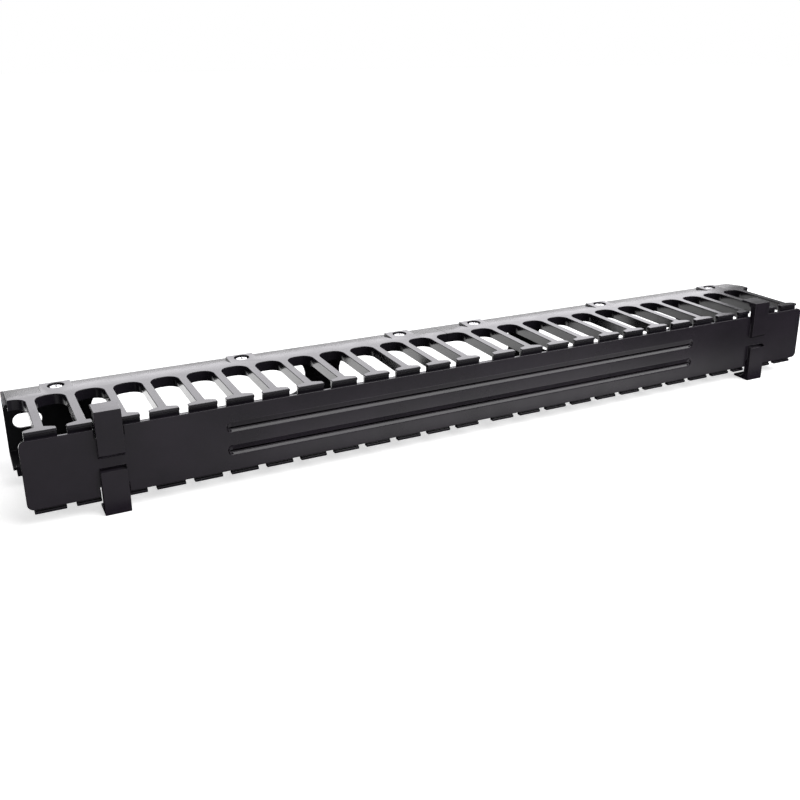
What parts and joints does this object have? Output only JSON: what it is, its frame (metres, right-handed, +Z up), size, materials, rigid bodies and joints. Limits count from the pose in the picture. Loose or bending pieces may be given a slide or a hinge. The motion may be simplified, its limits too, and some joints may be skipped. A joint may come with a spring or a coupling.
{
  "type": "horizontal cable manager",
  "caption": "Horizontal rack cable manager: a windowed steel back panel, moulded finger combs above and below, and a flat clip-on cover.",
  "frame": {"origin": "centre of the back panel's rear face, midway between its two rack slots", "axes": "+X along the panel to the right as seen from the front, -Y towards the cover at the front, +Z up"},
  "size_m": [0.4826, 0.0754, 0.0516],
  "materials": {
    "panel_steel": "satin black powder coat",
    "comb_plastic": "semi-gloss black moulded plastic",
    "cover_plastic": "semi-gloss black moulded plastic, fine grain",
    "screw_steel": "bright zinc plated"
  },
  "bodies": {
    "frame": {"back_panel": "panel_steel", "top_comb_left": "comb_plastic", "top_comb_right": "comb_plastic", "bottom_comb_left": "comb_plastic", "bottom_comb_right": "comb_plastic", "top_screw_1": "screw_steel", "top_screw_2": "screw_steel", "top_screw_3": "screw_steel", "top_screw_4": "screw_steel", "top_screw_5": "screw_steel", "top_screw_6": "screw_steel", "bottom_screw_1": "screw_steel", "bottom_screw_2": "screw_steel", "bottom_screw_3": "screw_steel", "bottom_screw_4": "screw_steel", "bottom_screw_5": "screw_steel", "bottom_screw_6": "screw_steel"},
    "cover": {"cover": "cover_plastic"}
  },
  "joints": [
    {"name": "cover_slide", "type": "slide", "parent": "frame", "child": "cover", "axis": [0, -1, 0], "range_m": [0, 0.06]}
  ]
}
